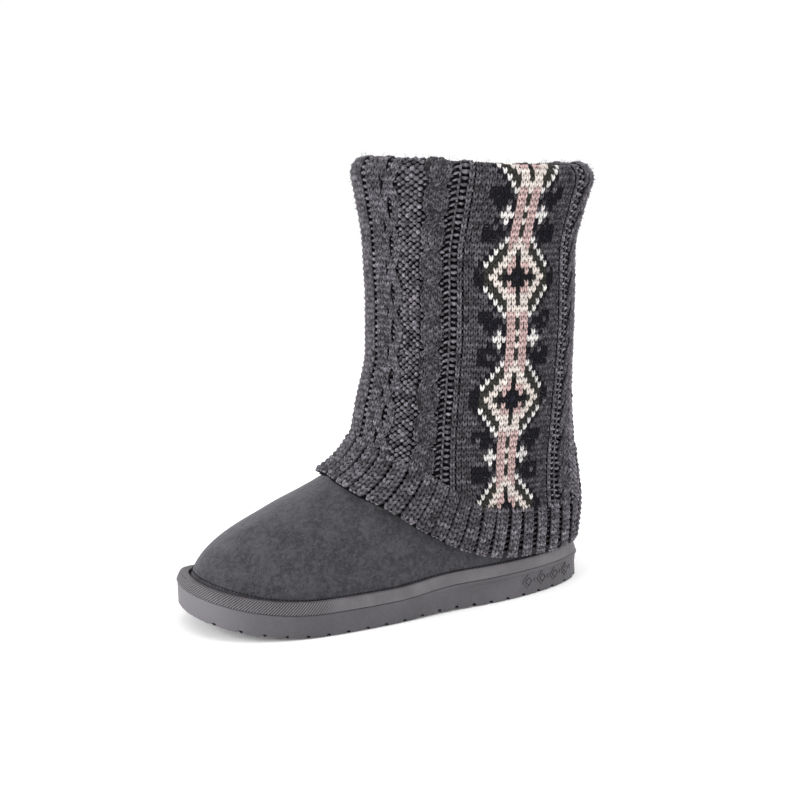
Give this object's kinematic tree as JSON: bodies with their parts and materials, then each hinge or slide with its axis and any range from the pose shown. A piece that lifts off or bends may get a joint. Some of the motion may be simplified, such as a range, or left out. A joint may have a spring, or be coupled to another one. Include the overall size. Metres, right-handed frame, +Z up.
{
  "type": "mukluk boot",
  "caption": "Left mid-calf boot with a suede foot, a thick knitted sleeve rolled over the collar, a ribbed rubber welt and a flat grooved rubber sole.",
  "frame": {"origin": "on the floor under the middle of the boot's bounding box", "axes": "+X from heel to toe, +Y to the outer side of the left foot, +Z up"},
  "size_m": [0.2868, 0.1248, 0.2868],
  "materials": {
    "sole_rubber": "matt moulded",
    "welt_rubber": "matt moulded",
    "suede": "brushed suede",
    "insole_cloth": "woven cloth",
    "heather_yarn": "knitted heather yarn"
  },
  "bodies": {
    "root": {"outsole": "sole_rubber", "welt": "welt_rubber", "upper": "suede", "insole": "insole_cloth", "knit_sleeve": "heather_yarn"}
  },
  "joints": []
}
